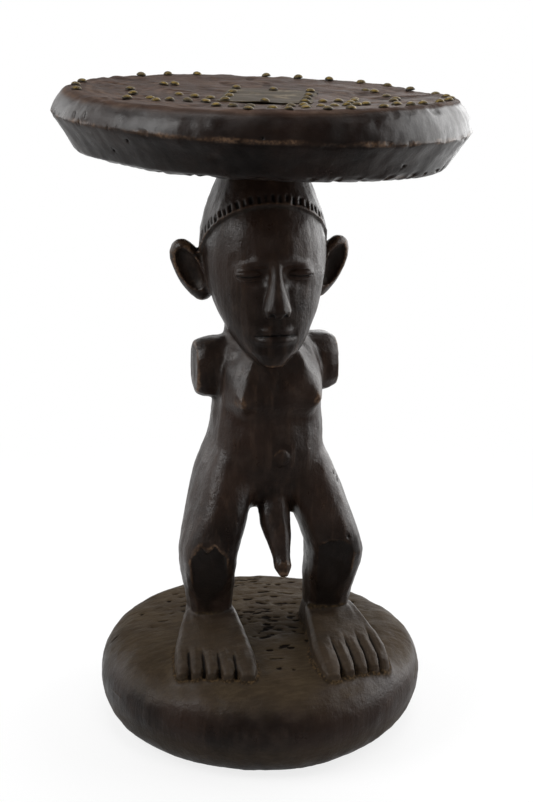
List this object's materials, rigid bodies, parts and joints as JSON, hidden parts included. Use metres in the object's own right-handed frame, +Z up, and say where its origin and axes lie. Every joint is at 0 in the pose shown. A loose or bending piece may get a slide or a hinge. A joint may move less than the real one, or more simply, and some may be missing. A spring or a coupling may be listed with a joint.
{
  "type": "stool",
  "caption": "Carved wooden stool: a dished round seat with brass tacks, carried on the head of a standing figure on a thick round base.",
  "frame": {"origin": "on the floor, under the middle of the seat", "axes": "+Z up, the figure faces -Y, its left side is +X"},
  "size_m": [0.3018, 0.298, 0.4932],
  "materials": {
    "dark_wood": "dark hand-polished patina, worn edges",
    "old_brass": "dull, darkened with age"
  },
  "bodies": {
    "root": {"carved_body": "dark_wood", "brass_sheet": "old_brass", "rim_tack_01": "old_brass", "rim_tack_02": "old_brass", "rim_tack_03": "old_brass", "rim_tack_04": "old_brass", "rim_tack_05": "old_brass", "rim_tack_06": "old_brass", "rim_tack_07": "old_brass", "rim_tack_08": "old_brass", "rim_tack_09": "old_brass", "rim_tack_10": "old_brass", "rim_tack_11": "old_brass", "rim_tack_12": "old_brass", "rim_tack_13": "old_brass", "rim_tack_14": "old_brass", "rim_tack_15": "old_brass", "rim_tack_16": "old_brass", "rim_tack_17": "old_brass", "rim_tack_18": "old_brass", "rim_tack_19": "old_brass", "rim_tack_20": "old_brass", "rim_tack_21": "old_brass", "rim_tack_22": "old_brass", "rim_tack_23": "old_brass", "rim_tack_24": "old_brass", "line_tack_01": "old_brass", "line_tack_02": "old_brass", "line_tack_03": "old_brass", "line_tack_04": "old_brass", "line_tack_05": "old_brass", "line_tack_06": "old_brass", "line_tack_07": "old_brass", "line_tack_08": "old_brass", "line_tack_09": "old_brass", "line_tack_10": "old_brass", "line_tack_11": "old_brass", "line_tack_12": "old_brass", "line_tack_13": "old_brass", "line_tack_14": "old_brass", "line_tack_15": "old_brass", "line_tack_16": "old_brass", "line_tack_17": "old_brass", "line_tack_18": "old_brass", "line_tack_19": "old_brass", "line_tack_20": "old_brass", "line_tack_21": "old_brass", "line_tack_22": "old_brass", "line_tack_23": "old_brass", "line_tack_24": "old_brass", "sheet_tack_01": "old_brass", "sheet_tack_02": "old_brass", "sheet_tack_03": "old_brass", "sheet_tack_04": "old_brass", "sheet_tack_05": "old_brass", "sheet_tack_06": "old_brass", "sheet_tack_07": "old_brass", "sheet_tack_08": "old_brass", "sheet_tack_09": "old_brass", "sheet_tack_10": "old_brass"}
  },
  "joints": []
}
